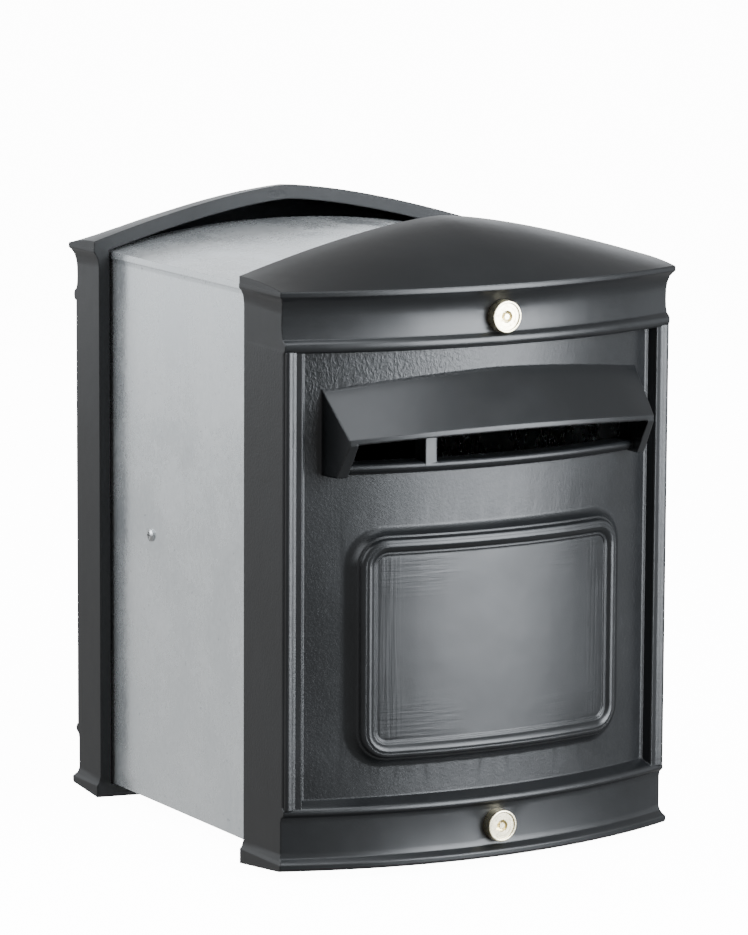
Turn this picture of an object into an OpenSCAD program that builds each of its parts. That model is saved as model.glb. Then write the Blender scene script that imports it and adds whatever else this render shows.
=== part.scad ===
// Telescopic post box for a wall: two bowed castings joined by a sliding galvanised sleeve.
// X is the width, the letter slot faces -Y, Z is up. The origin is the bottom centre.
// Every casting is drawn in a cover frame: its wall-side rim is y = 0 and it faces -Y.

/* [Castings] */
// Width between the two outer side walls of a casting
cover_w = 312; // [304:1:320]
// Height of the eave above the resting edge, at the wall side
cover_h = 416; // [410:1:424]
// Rise of the arch above the eave, in the middle
crown_rise = 34; // [31:1:38]
// How far the middle of the face stands in front of its ends
bow = 32; // [29:1:35]
// Depth of the front casting at its ends
front_depth = 57; // [56:1:62]
// Depth of the rear casting at its ends
rear_depth = 39; // [38:1:44]
// Overhang of the eave on each side
eave_out = 4; // [3:0.5:5]
// Overhang of the plinth on each side
plinth_out = 3; // [2:0.5:4]
// How far the panel lies behind its border
panel_sink = 9; // [8:0.5:9.5]
// Width of the border beside the panel
border_w = 16; // [14:0.5:18]
// Thickness of the panel wall
panel_t = 6; // [5:0.5:6.5]
// Thickness of the side walls
side_t = 5.5; // [4.5:0.5:6.5]
// Height of the underside above the resting edge, at the outer face
underside_rise = 6.5; // [4:0.5:8]
// Drop of the eave from the wall side to the outer face
eave_fall = 5; // [3:0.5:6]
// Radius of the upright corners beside the border
corner_r = 3; // [1.5:0.5:4]

/* [Mouldings] */
// Depth of the hollow of the frieze and of the bottom band
cove = 3; // [2:0.5:4]
// How far the round bead under the frieze stands out
bead_out = 2; // [1:0.5:3]
// Height of the bead's middle below the eave at the outer face
bead_drop = 38; // [36:0.5:40]
// Height of the sill line above the resting edge
sill_z = 50.5; // [48:0.5:54]
// How far the eave stands out in front
nose_out = 4; // [3:0.5:5]

/* [Letter slot] */
// Height of the lip's top edge below the eave at the outer face
lip_drop = 119.5; // [112:0.5:126]
// Half width of the clear slot
slot_half = 117.5; // [110:0.5:120]
// Reach of the hood in front of the border
hood_reach = 20.5; // [17:0.5:24]
// Thickness of the hood's front edge
hood_edge = 3.6; // [3:0.1:5]
// Height of the hood above the lip at its ends
hood_h = 51; // [48:0.5:56]
// Extra height of the hood in the middle
hood_arch = 10.5; // [6:0.5:12]
// Height of the rolled lip below the slot
lip_h = 8.5; // [7:0.5:10]
// Place of the divider, measured from the middle
divider_x = -55.5; // [-62:0.5:-40]
// Width of the divider
divider_w = 9; // [6:0.5:12]

/* [Raised frame] */
// Half width of the flat field
field_half = 92.5; // [84:0.5:98]
// Height of the field's bottom edge
field_z = 95.5; // [92:0.5:100]
// Height of the flat field
field_h = 131; // [120:1:136]
// Corner radius of the field
field_r = 7.5; // [5:0.5:12]

/* [Sleeve] */
// Distance between the rims of the two castings, fully closed
wall_gap = 222; // [216:1:232]
// Distance of the outer sleeve behind the side walls of the castings
sleeve_inset = 10.5; // [10:0.5:11.5]
// Height of the outer sleeve's underside above the resting edge
sleeve_z = 11.5; // [11:0.1:12]
// Depth of the lid's fold below the eave
fold_drop = 8; // [7.5:0.5:10]
// Rise of the lid's arch
lid_rise = 17; // [14:0.5:18]
// Sheet thickness of both sleeves
sheet_t = 1.2; // [1:0.1:1.3]
// Travel of the inner sleeve
travel = 125; // [80:5:140]
// Distance of the clamp screw in front of the rear casting's rim
screw_back = 60; // [50:1:66]
// Shank diameter of the clamp screws
screw_d = 5; // [4:0.5:5.5]

/* [Locks] */
// Diameter of the lock's face
lock_face_d = 22.6; // [21:0.2:24]
// How far the lock stands out of the casting
lock_proud = 8.4; // [6:0.2:10]
// Diameter of the lock's threaded barrel
barrel_d = 19; // [18:0.5:20]
// Height of the top lock below the eave at the outer face
top_lock_drop = 22; // [21:0.5:23]
// Height of the bottom lock above the resting edge
bottom_lock_z = 29; // [28.5:0.5:30.5]
// Diameter of the rotating plug
plug_d = 12; // [11:0.5:13]
// Reach of the cam from the lock's axis
cam_reach = 20; // [19:0.5:21]
// Height of a keeper strip
keeper_h = 15; // [13:0.5:16]

/* [Hidden] */
$fn = 96;
eps = 0.5;
round_gap = 0.05;
half_w = cover_w / 2;
bow_r = (half_w * half_w + bow * bow) / (2 * bow);
eave_half = half_w + eave_out;
eave_z = cover_h - eave_fall;
crown_z = cover_h + crown_rise;
arch_power = 1.44;
rim_lip = 5;
rim_w = 8.5;
mouth_half = half_w - rim_w;
hollow_half = half_w - side_t;
mouth_z = sleeve_z;
hollow_z = 8;
rim_top = 10.5;
band_t = 6.5;
bead_z = eave_z - bead_drop;
pocket_top = bead_z - 4.2;
pocket_half = half_w - border_w;
lip_z = eave_z - lip_drop;
top_lock_z = eave_z - top_lock_drop;
sheet_gap = 0.4;
side_gap = 0.3;
flange_h = 5;
flange_t = 1;
sleeve_w = cover_w - 2 * sleeve_inset;
side_out = sleeve_w / 2 - flange_t;
side_in = side_out - sheet_t;
inner_flange = side_in - side_gap;
inner_out = inner_flange - flange_t;
inner_in = inner_out - sheet_t;
lid_half = sleeve_w / 2;
fold_z = cover_h - fold_drop;
lid_r = (lid_half * lid_half + lid_rise * lid_rise) / (2 * lid_rise);
lid_cz = fold_z + lid_rise - lid_r;
lock_seat_depth = cove + 0.3;
keeper_t = 2;
keeper_half = cam_reach + 4;
keeper_ramp = 10;
joggle = bow - 5;
cam_t = 2.5;
plug_head_d = plug_d + 2;
plug_head_z = lock_proud - 3.4;
cam_back = 20.8;
keeper_back = cam_back - 1 - keeper_t;
front_seat = front_depth + bow - lock_seat_depth;
rear_seat = rear_depth + bow - lock_seat_depth;
sleeve_front = front_seat - keeper_back - joggle - keeper_t;
sleeve_rear = rear_seat - keeper_back - joggle - keeper_t;
tab_len = 12;
rivet_d = 4;
rivet_head_d = 1.7 * rivet_d;
inner_front = sleeve_front - tab_len - 3;
outer_rear = sleeve_rear - tab_len - 2;
screw_y = wall_gap - screw_back;
screw_z = cover_h / 2;
screw_head_d = 1.8 * screw_d;
nut_t = 4;
screw_len = side_out - inner_in + nut_t + 3.3;
slot_w = screw_d + 1.4;
front_reach = front_depth + bow + hood_reach;
rear_reach = wall_gap + rear_depth + bow + max(nose_out, lock_proud - lock_seat_depth);
shift_y = (front_reach - rear_reach) / 2;
arch_steps = 32;
dome_steps = 8;
sweep_steps = 28;
pocket_draft = 3;
cheek_edge = 5.5;
cheek_back = 9.6;

// Centre of the bow for a casting of side depth d.
function bow_y(d) = bow_r - d - bow;

// A point p in front of the border's bowed surface.
function on_bow(x, p, z, d) = [x, bow_y(d) - sqrt(pow(bow_r + p, 2) - x * x), z];

// The arch of the crown over the rim.
function arch_z(x) = crown_z - crown_rise * pow(abs(x) / eave_half, arch_power);

function flat(lists) = [for (list = lists) for (item = list) item];

// Triangles over a grid of na by nb points, whose first point has the given index.
function grid_faces(na, nb, first, turned) = flat([
    for (a = [0:na - 2]) for (b = [0:nb - 2])
        let (p = first + a * nb + b, q = p + nb)
        turned ? [[p, p + 1, q + 1], [p, q + 1, q]] : [[p, q + 1, p + 1], [p, q, q + 1]]
]);

// The crown: a height field over the plan between the bowed front and a back line.
module crown(half, p_front, y_back, low, z_front, drop, power, d) {
    nx = arch_steps + 1;
    ny = dome_steps + 1;
    xs = [for (i = [0:arch_steps]) half * (2 * i / arch_steps - 1)];
    ts = [for (j = [0:dome_steps]) pow(j / dome_steps, 1.25)];
    plan = flat([for (x = xs) [for (t = ts)
        let (f = on_bow(x, p_front, 0, d)) [x, f[1] + t * (y_back - f[1]), t]]]);
    top = [for (q = plan)
        [q[0], q[1], z_front + (arch_z(q[0]) - drop - z_front) * (1 - pow(1 - q[2], power))]];
    base = [for (q = plan) [q[0], q[1], low]];
    n = nx * ny;
    rim = concat(
        [for (i = [0:nx - 1]) i * ny],
        [for (j = [1:ny - 1]) (nx - 1) * ny + j],
        [for (i = [nx - 2:-1:0]) i * ny + ny - 1],
        [for (j = [ny - 2:-1:1]) j]
    );
    m = len(rim);
    walls = flat([for (k = [0:m - 1])
        let (a = rim[k], b = rim[(k + 1) % m])
        [[a, b, b + n], [a, b + n, a + n]]]);
    polyhedron(concat(top, base), concat(
        grid_faces(nx, ny, 0, true), grid_faces(nx, ny, n, false), walls), convexity = 4);
}

// Height profile of the outer face: [distance in front of the border, height].
function face_profile() = [
    [-57, 0],
    [1, underside_rise],
    [2.5, underside_rise + 1.5],
    [2.5, 11.3],
    [1.1, 12.7],
    [-cove + 1, 15],
    [-cove, 19],
    [-cove, sill_z - 10],
    [-cove + 1, sill_z - 6.5],
    [0.3, sill_z - 5],
    [1.3, sill_z - 3.6],
    [1.4, sill_z - 2.2],
    [0.7, sill_z - 0.8],
    [0, sill_z],
    [0, bead_z - 3.8],
    [bead_out * 0.55, bead_z - 3.1],
    [bead_out * 0.9, bead_z - 1.7],
    [bead_out, bead_z],
    [bead_out * 0.9, bead_z + 1.7],
    [bead_out * 0.4, bead_z + 3.2],
    [-cove * 0.5, bead_z + 5],
    [-cove * 0.85, bead_z + 8.5],
    [-cove, bead_z + 14],
    [-cove * 0.9, eave_z - 17],
    [-cove * 0.55, eave_z - 11.5],
    [0.3, eave_z - 6.8],
    [nose_out * 0.75, eave_z - 4],
    [nose_out, eave_z - 2.9],
    [nose_out, eave_z]
];

module revolve_face(points, d) {
    translate([0, bow_y(d), 0])
        rotate_extrude($fn = 360)
            polygon(points);
}

// Front view of the casting below the crown, with the eave and the plinth on its sides.
module side_profile() {
    right = [
        [half_w + plinth_out, 0],
        [half_w + plinth_out, 11.3],
        [half_w + plinth_out * 0.5, 13],
        [half_w, 18],
        [half_w, eave_z - 14],
        [half_w + eave_out * 0.2, eave_z - 8],
        [half_w + eave_out * 0.6, eave_z - 4.6],
        [half_w + eave_out, eave_z - 2.9],
        [half_w + eave_out, eave_z]
    ];
    n = len(right);
    polygon(concat(right, [for (i = [n - 1:-1:0]) [-right[i][0], right[i][1]]]));
}

// What rounds the upright corners between the sill and the bead takes away.
module corner_rounding(d) {
    lean = asin(half_w / bow_r);
    set = corner_r * tan(45 - lean / 2);
    centre = [half_w - corner_r, on_bow(half_w, 0, 0, d)[1] + set];
    for (s = [0, 1])
        mirror([s, 0, 0])
            translate([0, 0, sill_z + 0.5])
                linear_extrude(bead_z - 4.5 - sill_z)
                    polygon(concat(
                        [[half_w + 6, centre[1] + 0.3]],
                        [for (k = [0:4])
                            let (a = (90 - lean) * k / 4)
                            centre + corner_r * [cos(a), -sin(a)] * (k == 0 || k == 4 ? 1.01 : 1)],
                        [[half_w - 2, centre[1] - 12], [half_w + 6, centre[1] - 12]]));
}

module cover_blank(d) {
    face = face_profile();
    difference() {
        intersection() {
            rotate([90, 0, 0])
                linear_extrude(d + bow + nose_out + 2)
                    side_profile();
            revolve_face(concat(
                [[0, 0]],
                [for (q = face) [bow_r + q[0], q[1]]],
                [[0, eave_z]]), d);
        }
        corner_rounding(d);
    }
    crown(eave_half - 0.3, nose_out - 0.3, 0, eave_z - 2, eave_z + 0.6, 0, 2.2, d);
}

// The sunk panel between the borders, with bevelled sides and a sloping sill.
module panel_pocket(d) {
    r = bow_r;
    rim_x = pocket_half + pocket_draft;
    y_in = on_bow(pocket_half, -panel_sink, 0, d)[1];
    y_out = on_bow(rim_x, 0, 0, d)[1];
    intersection() {
        revolve_face([
            [r - panel_sink, sill_z + 4.5],
            [r - 1.5, sill_z + 1],
            [r, sill_z],
            [r + 40, sill_z],
            [r + 40, pocket_top],
            [r - panel_sink, pocket_top]
        ], d);
        translate([0, 0, 1])
            linear_extrude(cover_h)
                polygon([
                    [-pocket_half, y_in + 12],
                    [-pocket_half, y_in - 0.6],
                    [-rim_x, y_out + 1.2],
                    [-rim_x - 1.6, y_out - 1],
                    [-rim_x - 2, y_out - 40],
                    [rim_x + 2, y_out - 40],
                    [rim_x + 1.6, y_out - 1],
                    [rim_x, y_out + 1.2],
                    [pocket_half, y_in - 0.6],
                    [pocket_half, y_in + 12]
                ]);
    }
}

// The hollow behind the face, its mouth in the rim and the room under the crown.
module cover_hollow(d) {
    r = bow_r;
    inner = panel_sink + panel_t;
    shallow = cove + band_t;
    intersection() {
        translate([-hollow_half, -d - bow - 2, hollow_z])
            cube([2 * hollow_half, d + bow + 2 - rim_lip, eave_z - 7 - hollow_z]);
        revolve_face([
            [0, hollow_z],
            [r - 57, hollow_z],
            [r - shallow, 11.5],
            [r - shallow, sill_z - 6.5],
            [r - inner, sill_z - 0.5],
            [r - inner, bead_z - 9],
            [r - shallow, bead_z - 2],
            [r - shallow, eave_z - 7],
            [0, eave_z - 7]
        ], d);
    }
    crown(hollow_half - 0.3, -12, -rim_lip, eave_z - 11, eave_z - 7.5, 8, 4, d);
    rotate([90, 0, 0])
        translate([0, 0, -1])
            linear_extrude(rim_lip + 2)
                polygon(concat(
                    [[-mouth_half, mouth_z], [mouth_half, mouth_z]],
                    [for (i = [0:arch_steps])
                        let (x = mouth_half * (1 - 2 * i / arch_steps))
                        [x, arch_z(x) - rim_top]]));
}

// A closed body swept across the bow through profiles given as [p, z] lists.
module bow_sweep(xs, profiles, d) {
    n = len(profiles[0]);
    m = len(xs);
    points = flat([for (i = [0:m - 1]) [for (q = profiles[i]) on_bow(xs[i], q[0], q[1], d)]]);
    skin = flat([for (i = [0:m - 2]) for (k = [0:n - 1])
        let (a = i * n + k, b = i * n + (k + 1) % n)
        [[a, b, b + n], [a, b + n, a + n]]]);
    polyhedron(points, concat(
        skin,
        [[for (k = [n - 1:-1:0]) k]],
        [[for (k = [0:n - 1]) (m - 1) * n + k]]), convexity = 6);
}

function hood_top(x) = lip_z + hood_h + hood_arch * (1 - pow(abs(x) / (slot_half + cheek_back), 1.6));
function hood_low(x) = lip_z + 19.5 + hood_arch * 0.47 * (1 - pow(x / (slot_half + cheek_edge), 2));

// Half width of the hood at a distance p in front of the border.
function hood_half(p) = slot_half + cheek_edge
    + (cheek_back - cheek_edge) * (hood_reach - p) / (hood_reach + panel_sink);

// Rows of the hood at the share u of its half width: the foot, the edge and the sloping top.
function hood_rows(u) =
    let (low = hood_low(u * hood_half(hood_reach)),
        top = hood_top(u * hood_half(-panel_sink)),
        depth = hood_reach + panel_sink)
    concat(
        [[-panel_sink - 3, lip_z - lip_h], [hood_reach - 14, lip_z - lip_h],
            [hood_reach, low - hood_edge - 0.6]],
        [for (f = [0, 0.25, 0.5, 0.75, 1 + 3 / depth])
            [hood_reach - f * depth, low + f * (top - low)]]);

// The hooded box in front of the slot, solid; it tapers from the panel to its edge.
module hood_block(d) {
    us = [for (i = [0:sweep_steps]) 2 * i / sweep_steps - 1];
    rows = [for (u = us) hood_rows(u)];
    points = flat([for (i = [0:sweep_steps]) [for (q = rows[i])
        on_bow(us[i] * hood_half(q[0]), q[0], q[1], d)]]);
    n = len(rows[0]);
    z = sweep_steps * n;
    skin = flat([for (i = [0:sweep_steps - 1]) for (k = [0:n - 1])
        let (a = i * n + k, b = i * n + (k + 1) % n)
        [[a, b, b + n], [a, b + n, a + n]]]);
    polyhedron(points, concat(
        skin,
        [for (k = [1:n - 2]) [0, k + 1, k]],
        [for (k = [1:n - 2]) [z, z + k, z + k + 1]]
    ), convexity = 6);
}

// The way in through the wall, with the rounded lip, and the room under the hood.
module slot_space(d) {
    r = bow_r;
    intersection() {
        revolve_face([
            [r - panel_sink - panel_t - 8, lip_z],
            [r - 2.6, lip_z],
            [r - 0.2, lip_z - 0.7],
            [r + 0.9, lip_z - 2.2],
            [r + 0.9, lip_z - 3.8],
            [r - 0.2, lip_z - 5.4],
            [r - 2.4, lip_z - 6.9],
            [r - 5.4, lip_z - lip_h + 0.5],
            [r - 7.6, lip_z - lip_h - 0.4],
            [r - 7.6, lip_z - lip_h - 5],
            [r + hood_reach + 12, lip_z - lip_h - 5],
            [r + hood_reach + 12, lip_z + 2],
            [r - 4, lip_z + 2],
            [r - 4, lip_z + 33],
            [r - panel_sink - panel_t - 8, lip_z + 31]
        ], d);
        translate([-slot_half, -d - bow - hood_reach - 20, lip_z - lip_h - 8])
            cube([2 * slot_half, hood_reach + bow + 60, 60]);
    }
    us = [for (i = [0:sweep_steps]) (slot_half - 0.4) * (2 * i / sweep_steps - 1)];
    bow_sweep(us, [for (x = us)
        let (low = hood_low(x) - hood_edge, slope = (lip_z + 37 - low) / (hood_reach + 6))
        [
            [-6, lip_z + 1],
            [hood_reach + 13, lip_z + 1],
            [hood_reach + 13, low - 13 * slope],
            [-6, lip_z + 37]
        ]], d);
}

module slot_divider(d) {
    y = on_bow(divider_x, 0.4, 0, d)[1];
    translate([divider_x - divider_w / 2, y, lip_z - 3])
        cube([divider_w, panel_sink + panel_t - 1, 41]);
}

// Path of a rounded rectangle in front view: [x, z, outward x, outward z].
function frame_path() =
    let (cz = field_z + field_h / 2, hx = field_half - field_r, hz = field_h / 2 - field_r)
    flat([
        for (c = [[1, 1, 0], [-1, 1, 90], [-1, -1, 180], [1, -1, 270]])
            concat(
                [for (k = [0:6])
                    let (a = c[2] + 15 * k)
                    [c[0] * hx + field_r * cos(a), cz + c[1] * hz + field_r * sin(a), cos(a), sin(a)]],
                c[0] * c[1] > 0
                    ? [for (k = [1:7]) let (s = c[0] * (1 - k / 4))
                        [s * hx, cz + c[1] * (hz + field_r), 0, c[1]]]
                    : [])
    ]);

// The moulded frame around the field: [outward offset, height over the border].
function frame_profile() = [
    [-6, -panel_sink - 3],
    [-6, -5],
    [-0.4, -5],
    [0, -2],
    [0.8, -1.5],
    [2, -1.7],
    [3.4, -0.4],
    [4.8, 0.9],
    [6.6, 1.5],
    [8, 1.2],
    [8.4, 0.9],
    [9, 1.1],
    [10.6, 0.6],
    [11.7, -0.8],
    [12, -2.6],
    [13.3, -2.9],
    [14.2, -4.2],
    [16, -6.9],
    [18.4, -8.5],
    [20.5, -9.2],
    [20.5, -panel_sink - 3]
];

module raised_frame(d) {
    path = frame_path();
    prof = frame_profile();
    n = len(prof);
    m = len(path);
    points = flat([for (s = path) [for (q = prof)
        on_bow(s[0] + q[0] * s[2], q[1], s[1] + q[0] * s[3], d)]]);
    skin = flat([for (i = [0:m - 1]) for (k = [0:n - 1])
        let (i2 = (i + 1) % m, a = i * n + k, b = i * n + (k + 1) % n,
            e = i2 * n + k, f = i2 * n + (k + 1) % n)
        [[a, f, b], [a, e, f]]]);
    polyhedron(points, skin, convexity = 8);
    intersection() {
        revolve_face([
            [bow_r - panel_sink - 4.2, field_z - 3],
            [bow_r - 2.4, field_z - 3],
            [bow_r - 2.4, field_z + field_h + 3],
            [bow_r - panel_sink - 4.2, field_z + field_h + 3]
        ], d);
        translate([-field_half - 3, -d - bow, field_z - 3])
            cube([2 * field_half + 6, bow + 8, field_h + 6]);
    }
}

// Hole, outside seat and inside seat for a lock, square to the bow's middle.
module lock_hole(z, d) {
    seat = d + bow - lock_seat_depth;
    translate([0, -seat, z])
        rotate([90, 0, 0]) {
            translate([0, 0, -30])
                cylinder(d = barrel_d + 2 * round_gap, h = 60);
            cylinder(d = lock_face_d + 1, h = 20);
            translate([0, 0, -band_t - 12])
                cylinder(d = 30, h = 12 + 0.4);
        }
}

module cover_shell(d) {
    difference() {
        cover_blank(d);
        panel_pocket(d);
        cover_hollow(d);
        lock_hole(top_lock_z, d);
        lock_hole(bottom_lock_z, d);
    }
}

module front_place() {
    translate([0, shift_y, 0])
        children();
}

module rear_place() {
    translate([0, shift_y + wall_gap, 0])
        rotate([0, 0, 180])
            children();
}

module front_cover() {
    color("#2d3033")
        front_place() {
            difference() {
                union() {
                    cover_shell(front_depth);
                    hood_block(front_depth);
                    raised_frame(front_depth);
                }
                slot_space(front_depth);
            }
            slot_divider(front_depth);
        }
}

module rear_cover() {
    color("#2d3033")
        rear_place()
            cover_shell(rear_depth);
}

// Arched sheet strip in front view; top is the height of its middle.
module lid_profile(half, r_top, thick, flange_z) {
    difference() {
        intersection() {
            translate([0, lid_cz])
                circle(r = r_top, $fn = 720);
            translate([-half, flange_z - 100])
                square([2 * half, 200]);
            translate([-half, fold_z - 60])
                square([2 * half, 200]);
        }
        translate([0, lid_cz])
            circle(r = r_top - thick, $fn = 720);
    }
    for (s = [-1, 1])
        translate([s > 0 ? half - flange_t : -half, flange_z])
            square([flange_t, sqrt(pow(r_top, 2) - pow(half, 2)) + lid_cz - flange_z - 0.4]);
}

module tray_profile(out, low, high) {
    difference() {
        translate([-out, low])
            square([2 * out, high - low]);
        translate([-out + sheet_t, low + sheet_t])
            square([2 * (out - sheet_t), high]);
    }
}

module along_sleeve(y_front, y_rear) {
    translate([0, shift_y + y_rear, 0])
        rotate([90, 0, 0])
            linear_extrude(y_rear - y_front)
                children();
}

function lid_under(r, x) = sqrt(pow(r, 2) - pow(x, 2)) + lid_cz;

module outer_sleeve() {
    color("#b9bfbf")
        difference() {
            along_sleeve(-sleeve_front, wall_gap + outer_rear)
                tray_profile(side_out, sleeve_z, lid_under(lid_r - sheet_t, side_out) - 0.2);
            for (s = [-1, 1])
                translate([s * side_out, shift_y + screw_y, screw_z])
                    rotate([0, 90, 0])
                        cylinder(d = screw_d + 0.7, h = 10, center = true);
            rivet_holes(false);
        }
}

module outer_lid() {
    color("#dfe2e4")
        along_sleeve(-sleeve_front, wall_gap + outer_rear)
            lid_profile(lid_half, lid_r, sheet_t, fold_z - flange_h);
}

inner_top_r = lid_r - sheet_t - sheet_gap;

module inner_sleeve() {
    color("#b2b8b9")
        difference() {
            along_sleeve(-inner_front, wall_gap + sleeve_rear)
                tray_profile(inner_out, sleeve_z + sheet_t + sheet_gap,
                    lid_under(inner_top_r - sheet_t, inner_out) - 0.2);
            for (s = [-1, 1])
                translate([s * inner_out - 3, shift_y + screw_y - travel - slot_w / 2, screw_z - slot_w / 2])
                    cube([6, travel + slot_w, slot_w]);
            rivet_holes(true);
        }
}

module inner_lid() {
    color("#d4d8da")
        along_sleeve(-inner_front, wall_gap + sleeve_rear)
            lid_profile(inner_flange, inner_top_r, sheet_t, fold_z - flange_h - 3);
}

// Cross-recess pan-head screws through both sides of the outer sleeve.
module clamp_screws() {
    color("#8e9294")
        for (s = [-1, 1])
            translate([s * side_out, shift_y + screw_y, screw_z])
                rotate([0, s * 90, 0])
                    difference() {
                        union() {
                            translate([0, 0, -screw_len])
                                cylinder(d = screw_d, h = screw_len + eps);
                            cylinder(d = screw_head_d, h = 1.2);
                            translate([0, 0, 1.2])
                                cylinder(d1 = screw_head_d, d2 = 1.2 * screw_d, h = 1.2);
                        }
                        for (a = [0, 90])
                            rotate([0, 0, a])
                                translate([-2.4, -0.5, 1])
                                    cube([4.8, 1, 3]);
                    }
}

module clamp_nut(s) {
    color("#8e9294")
        translate([s * (inner_in - 0.2 - nut_t / 2), shift_y + screw_y, screw_z])
            rotate([0, 90, 0])
                difference() {
                    cube([14, 14, nut_t], center = true);
                    cylinder(d = screw_d + 2 * round_gap, h = nut_t + 2, center = true);
                }
}

module clamp_nut_left() {
    clamp_nut(-1);
}

module clamp_nut_right() {
    clamp_nut(1);
}

// Keeper strip in plan, in a cover frame: flat ends, tabs, and a middle set forward.
module keeper(side_face, base_y, z) {
    t = keeper_t;
    y0 = -base_y - t;
    mid = keeper_half;
    foot = keeper_half + keeper_ramp;
    fold = t * (norm([keeper_ramp, joggle]) - keeper_ramp) / joggle;
    translate([0, 0, z])
        difference() {
            linear_extrude(keeper_h)
                polygon([
                    [-side_face, y0],
                    [-foot, y0],
                    [-mid, y0 - joggle],
                    [mid, y0 - joggle],
                    [foot, y0],
                    [side_face, y0],
                    [side_face, y0 + t + tab_len],
                    [side_face - t, y0 + t + tab_len],
                    [side_face - t, y0 + t],
                    [foot - fold, y0 + t],
                    [mid - fold, y0 + t - joggle],
                    [fold - mid, y0 + t - joggle],
                    [fold - foot, y0 + t],
                    [-side_face + t, y0 + t],
                    [-side_face + t, y0 + t + tab_len],
                    [-side_face, y0 + t + tab_len]
                ]);
            for (s = [-1, 1])
                for (k = [0.25, 0.75])
                    translate([s * side_face, -base_y + tab_len / 2, k * keeper_h])
                        rotate([0, 90, 0])
                            cylinder(d = rivet_d + 2 * round_gap, h = 12, center = true);
        }
}

keeper_top_z = top_lock_z - barrel_d / 2 - 2 - keeper_h;
keeper_low_z = bottom_lock_z + barrel_d / 2 + 2;

module front_keeper_top() {
    color("#a9aeb0")
        front_place()
            keeper(side_in, sleeve_front, keeper_top_z);
}

module front_keeper_bottom() {
    color("#a9aeb0")
        front_place()
            keeper(side_in, sleeve_front, keeper_low_z);
}

module rear_keeper_top() {
    color("#a9aeb0")
        rear_place()
            keeper(inner_in, sleeve_rear, keeper_top_z);
}

module rear_keeper_bottom() {
    color("#a9aeb0")
        rear_place()
            keeper(inner_in, sleeve_rear, keeper_low_z);
}

function rivet_y(inner) = inner
    ? shift_y + wall_gap + sleeve_rear - tab_len / 2
    : shift_y - sleeve_front + tab_len / 2;

module rivet_spots(inner) {
    for (z = [keeper_top_z, keeper_low_z])
        for (k = [0.25, 0.75])
            for (s = [-1, 1])
                translate([s * (inner ? inner_out : side_out), rivet_y(inner), z + k * keeper_h])
                    rotate([0, s * 90, 0])
                        children();
}

module rivet_holes(inner) {
    rivet_spots(inner)
        cylinder(d = rivet_d + 2 * round_gap, h = 8, center = true);
}

// Blind rivets: dome head outside, shank, and the pulled tail inside.
module rivet_bodies(inner) {
    color("#9aa0a2")
        rivet_spots(inner) {
            cylinder(d1 = rivet_head_d, d2 = rivet_d + 0.2, h = 1.1);
            translate([0, 0, -sheet_t - keeper_t - 1])
                cylinder(d = rivet_d, h = sheet_t + keeper_t + 1.2);
            translate([0, 0, -sheet_t - keeper_t - 2.6])
                cylinder(d1 = 1.1 * rivet_d, d2 = 1.5 * rivet_d, h = 2.6);
        }
}

module front_rivets() {
    rivet_bodies(false);
}

module rear_rivets() {
    rivet_bodies(true);
}

module lock_place(at_front, z) {
    seat = at_front ? front_seat : rear_seat;
    if (at_front)
        front_place()
            translate([0, -seat, z])
                rotate([90, 0, 0])
                    children();
    else
        rear_place()
            translate([0, -seat, z])
                rotate([90, 0, 0])
                    children();
}

// Lock parts are drawn with +Z pointing out of the casting and the seat at z = 0.
module lock_barrel() {
    color("#c9a75c")
        difference() {
            union() {
                cylinder(d = lock_face_d, h = lock_proud - 1);
                translate([0, 0, lock_proud - 1])
                    cylinder(d1 = lock_face_d, d2 = lock_face_d - 1.6, h = 1);
                translate([0, 0, -cam_back + 0.8])
                    cylinder(d = barrel_d, h = cam_back);
            }
            translate([0, 0, lock_proud - 0.8])
                cylinder(d = lock_face_d - 4.2, h = 2);
            translate([0, 0, -30])
                cylinder(d = plug_d + 2 * round_gap, h = 60);
            translate([0, 0, plug_head_z - 0.1])
                cylinder(d = plug_head_d + 2 * round_gap, h = 20);
        }
}

module lock_nut() {
    color("#a58a4e")
        translate([0, 0, -band_t + 0.4 - 5])
            difference() {
                cylinder(d = (barrel_d + 5) / cos(30), h = 5, $fn = 6);
                translate([0, 0, -1])
                    cylinder(d = barrel_d + 2 * round_gap, h = 8);
            }
}

module lock_plug() {
    color("#c6a259")
        difference() {
            union() {
                translate([0, 0, -cam_back])
                    cylinder(d = plug_d, h = cam_back + lock_proud - 1);
                translate([0, 0, plug_head_z])
                    cylinder(d = plug_head_d, h = lock_proud - 0.9 - plug_head_z);
                translate([-3.5, -3.5, -cam_back - cam_t + 0.2])
                    cube([7, 7, cam_t + 2]);
            }
            difference() {
                translate([0, 0, lock_proud - 6])
                    cylinder(d = 8.2, h = 8);
                translate([0, 0, lock_proud - 7])
                    cylinder(d = 4.6, h = 10);
            }
            translate([-5.2, -0.8, lock_proud - 6])
                cube([2, 1.6, 8]);
            translate([0, 0, -cam_back - cam_t - 1])
                cylinder(d = 4 + 2 * round_gap, h = 12);
        }
}

module lock_cam() {
    color("#a9aeb0")
        translate([0, 0, -cam_back - cam_t])
            difference() {
                union() {
                    cylinder(d = 17, h = cam_t);
                    translate([-cam_reach + 6, -6, 0])
                        cube([cam_reach - 6, 12, cam_t]);
                    translate([-cam_reach + 6, 0, 0])
                        cylinder(d = 12, h = cam_t);
                }
                translate([-3.55, -3.55, -1])
                    cube([7.1, 7.1, cam_t + 2]);
            }
}

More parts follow.
